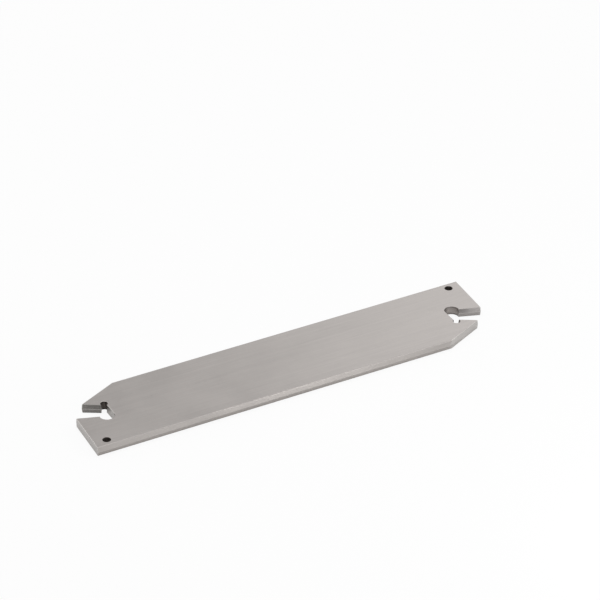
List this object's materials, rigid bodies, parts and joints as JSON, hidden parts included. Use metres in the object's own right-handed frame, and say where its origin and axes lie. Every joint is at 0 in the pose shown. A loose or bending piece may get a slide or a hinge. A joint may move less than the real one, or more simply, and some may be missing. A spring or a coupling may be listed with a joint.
{
  "type": "double-ended parting blade",
  "caption": "Flat ground steel parting blade with vee edges and a self-gripping wedge pocket for a cut-off insert at each end.",
  "frame": {"origin": "middle of the lower flank, centred on the blade's length and height", "axes": "+X along the blade; +Y across it, from one vee edge to the other; +Z through its thickness, up from the flank it lies on"},
  "size_m": [0.15, 0.032, 0.0032],
  "materials": {
    "ground_steel": "satin"
  },
  "bodies": {
    "root": {"parting_blade": "ground_steel"}
  },
  "joints": []
}
